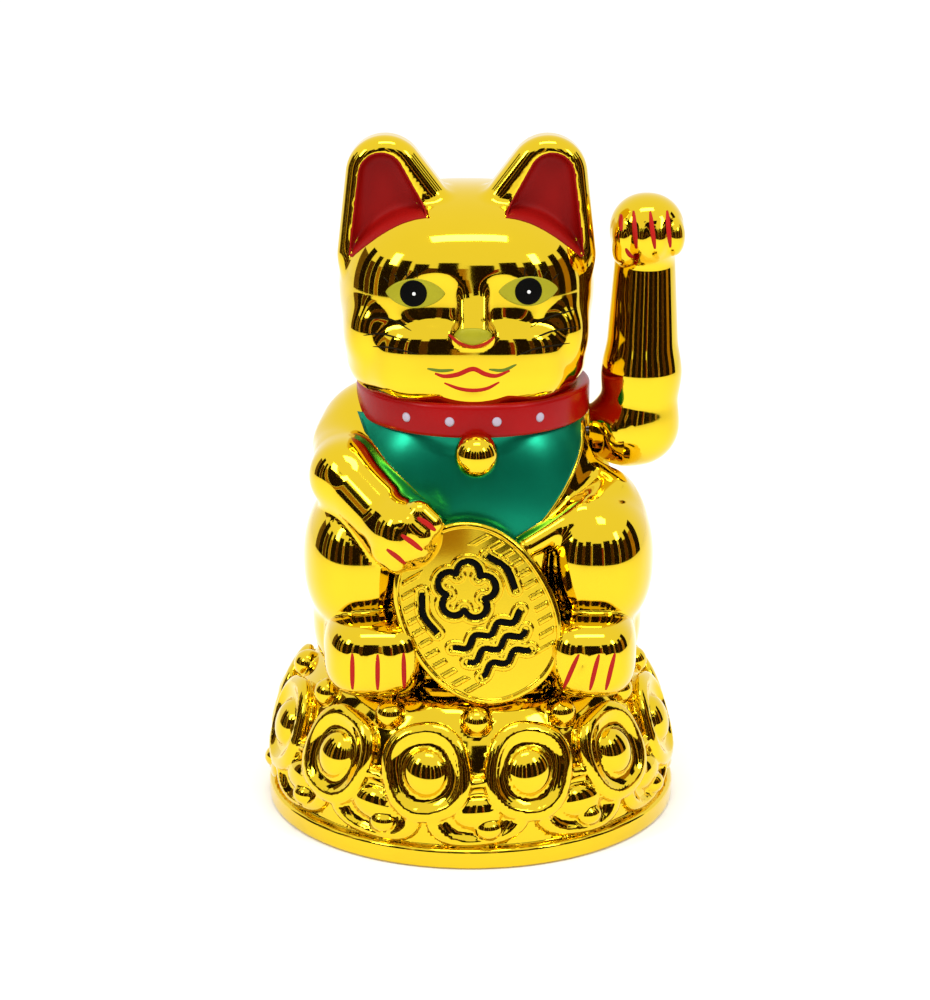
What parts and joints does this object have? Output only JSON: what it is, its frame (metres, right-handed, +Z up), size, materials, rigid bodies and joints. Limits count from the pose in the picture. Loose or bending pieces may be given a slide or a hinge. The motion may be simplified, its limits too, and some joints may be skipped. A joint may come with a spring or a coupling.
{
  "type": "beckoning cat figurine",
  "caption": "Gold-plated seated cat on a round mound of ingots, holding an oval coin, with a raised arm that swings back and forth on a battery-driven pendulum.",
  "frame": {"origin": "centre of the flat face that the base rests on", "axes": "+Z up, +X towards the raised arm, -Y towards the face"},
  "size_m": [0.0926, 0.0926, 0.1519],
  "materials": {
    "gold_plate": "mirror gold vacuum plating on moulded plastic, with painted collar, bib, ears and face",
    "cover_plastic": "matt",
    "screw_steel": "zinc plated",
    "cell_jacket": "printed jacket without marks",
    "contact_metal": "nickel plated",
    "white_plastic": "matt",
    "bush_brass": "turned",
    "copper_wire": "enamelled copper",
    "board_laminate": "solder resist",
    "black_plastic": "matt",
    "dark_plastic": "matt",
    "capacitor_sleeve": "shrink sleeve",
    "resistor_body": "lacquered",
    "lead_red_jacket": "insulated lead",
    "lead_black_jacket": "insulated lead",
    "lead_orange_jacket": "insulated lead",
    "shaft_steel": "drawn wire",
    "magnet_nickel": "nickel plated",
    "weight_steel": "plain steel"
  },
  "bodies": {
    "figure": {"front_shell": "gold_plate", "rear_shell": "gold_plate", "base_cover": "cover_plastic", "base_screws": "screw_steel", "frame_screws": "screw_steel", "board_screws": "screw_steel", "battery_cell": "cell_jacket", "battery_spring": "contact_metal", "battery_plate": "contact_metal", "mechanism_frame": "white_plastic", "coil_bobbin": "white_plastic", "bearing_bush_left": "bush_brass", "bearing_bush_right": "bush_brass", "coil_winding": "copper_wire", "coil_leads": "copper_wire", "circuit_board": "board_laminate", "transistor": "black_plastic", "capacitor": "capacitor_sleeve", "resistor": "resistor_body", "switch_housing": "dark_plastic", "lead_red": "lead_red_jacket", "lead_black": "lead_black_jacket", "lead_switch": "lead_orange_jacket"},
    "arm": {"arm_front_shell": "gold_plate", "arm_rear_shell": "gold_plate", "arm_wire_clip": "white_plastic", "pivot_shaft": "shaft_steel", "shaft_clips": "dark_plastic", "pendulum_lever": "white_plastic", "pendulum_magnet": "magnet_nickel", "counterweight": "weight_steel"},
    "battery_door": {"battery_door": "cover_plastic"},
    "switch_slider": {"switch_slider": "black_plastic"}
  },
  "joints": [
    {"name": "arm_swing", "type": "hinge", "parent": "figure", "child": "arm", "pos_m": [0, 0, 0.085], "axis": [1, 0, 0], "range_deg": [-20, 20]},
    {"name": "battery_door_release", "type": "slide", "parent": "figure", "child": "battery_door", "axis": [0, 0, -1], "range_m": [0, 0.02]},
    {"name": "switch_slide", "type": "slide", "parent": "figure", "child": "switch_slider", "axis": [1, 0, 0], "range_m": [0, 0.003]}
  ]
}
